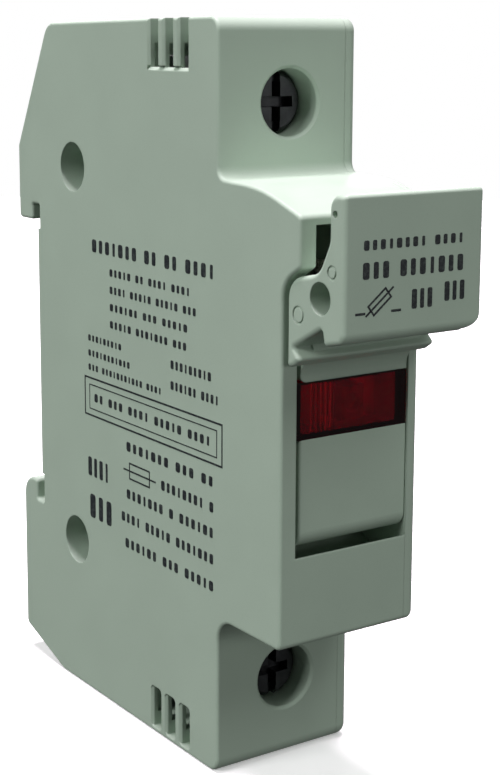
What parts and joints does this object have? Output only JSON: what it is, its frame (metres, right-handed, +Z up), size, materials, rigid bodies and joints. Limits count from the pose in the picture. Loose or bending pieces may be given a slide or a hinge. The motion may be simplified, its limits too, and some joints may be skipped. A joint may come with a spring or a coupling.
{
  "type": "cartridge fuse holder",
  "caption": "Slim rail-mounted holder for a cylindrical cartridge fuse, with a hinged pull-out carrier, indicator window, cage terminals and a sprung rail catch.",
  "frame": {"origin": "middle of the flat seat that rests against the mounting rail", "axes": "+Z up along the holder's height, +Y backwards from the holder into the rail, -Y to the front with the handle, X across the width; +X is the side with the thin cover"},
  "size_m": [0.0178, 0.0657, 0.0807],
  "materials": {
    "housing": "fine matte, pale grey green",
    "carrier": "fine matte, pale grey green",
    "latch": "fine matte, pale grey green",
    "dark_plastic": "matte black",
    "lens_red": "clear dark red",
    "lamp_clear": "cloudy red epoxy",
    "circuit_board": "bare glass laminate",
    "resistor_body": "lacquered",
    "pin_steel": "ground",
    "spring_steel": "bright",
    "zinc_steel": "zinc plated",
    "screw_steel": "dark passivated",
    "plated_copper": "silver plated copper",
    "plated_cap": "nickel plated brass",
    "spring_bronze": "bare spring bronze",
    "element_silver": "bright silver",
    "fuse_ceramic": "unglazed, off white",
    "quartz_sand": "fine sand"
  },
  "bodies": {
    "housing": {"housing_body": "housing", "housing_cover": "housing", "carrier_pivot_pin": "pin_steel", "contact_upper": "plated_copper", "contact_lower": "plated_copper", "contact_spring_upper": "spring_steel", "contact_spring_lower": "spring_steel", "latch_spring": "spring_steel"},
    "carrier": {"fuse_carrier": "carrier", "indicator_lens": "lens_red", "lamp_holder": "dark_plastic", "indicator_lamp": "lamp_clear", "indicator_board": "circuit_board", "indicator_resistors": "resistor_body", "indicator_contact_upper": "spring_bronze", "indicator_contact_lower": "spring_bronze", "fuse_tube": "fuse_ceramic", "fuse_cap_upper": "plated_cap", "fuse_cap_lower": "plated_cap", "fuse_element": "element_silver", "fuse_filler": "quartz_sand"},
    "latch": {"rail_latch": "latch"},
    "upper_screw": {"terminal_screw_upper": "screw_steel"},
    "lower_screw": {"terminal_screw_lower": "screw_steel"},
    "upper_cage": {"terminal_cage_upper": "zinc_steel"},
    "lower_cage": {"terminal_cage_lower": "zinc_steel"}
  },
  "joints": [
    {"name": "carrier_hinge", "type": "hinge", "parent": "housing", "child": "carrier", "pos_m": [0, -0.0469, -0.0103], "axis": [1, 0, 0], "range_deg": [0, 60]},
    {"name": "latch_slide", "type": "slide", "parent": "housing", "child": "latch", "axis": [0, 0, -1], "range_m": [0, 0.0025], "stiffness_N_per_m": 800, "deforming": ["latch_spring"]},
    {"name": "upper_screw_turn", "type": "hinge", "parent": "housing", "child": "upper_screw", "pos_m": [0.00015, -0.036, 0.0321], "axis": [0, 1, 0], "range_deg": [0, 2521]},
    {"name": "upper_cage_slide", "type": "slide", "parent": "housing", "child": "upper_cage", "axis": [0, -1, 0], "range_m": [0, 0.0056]},
    {"name": "lower_screw_turn", "type": "hinge", "parent": "housing", "child": "lower_screw", "pos_m": [0.00015, -0.036, -0.0307], "axis": [0, 1, 0], "range_deg": [0, 2521]},
    {"name": "lower_cage_slide", "type": "slide", "parent": "housing", "child": "lower_cage", "axis": [0, -1, 0], "range_m": [0, 0.0056]}
  ],
  "couplings": [
    {"joint": "upper_screw_turn", "follows": "upper_cage_slide", "rad_per_m": 7854},
    {"joint": "lower_screw_turn", "follows": "lower_cage_slide", "rad_per_m": 7854}
  ]
}
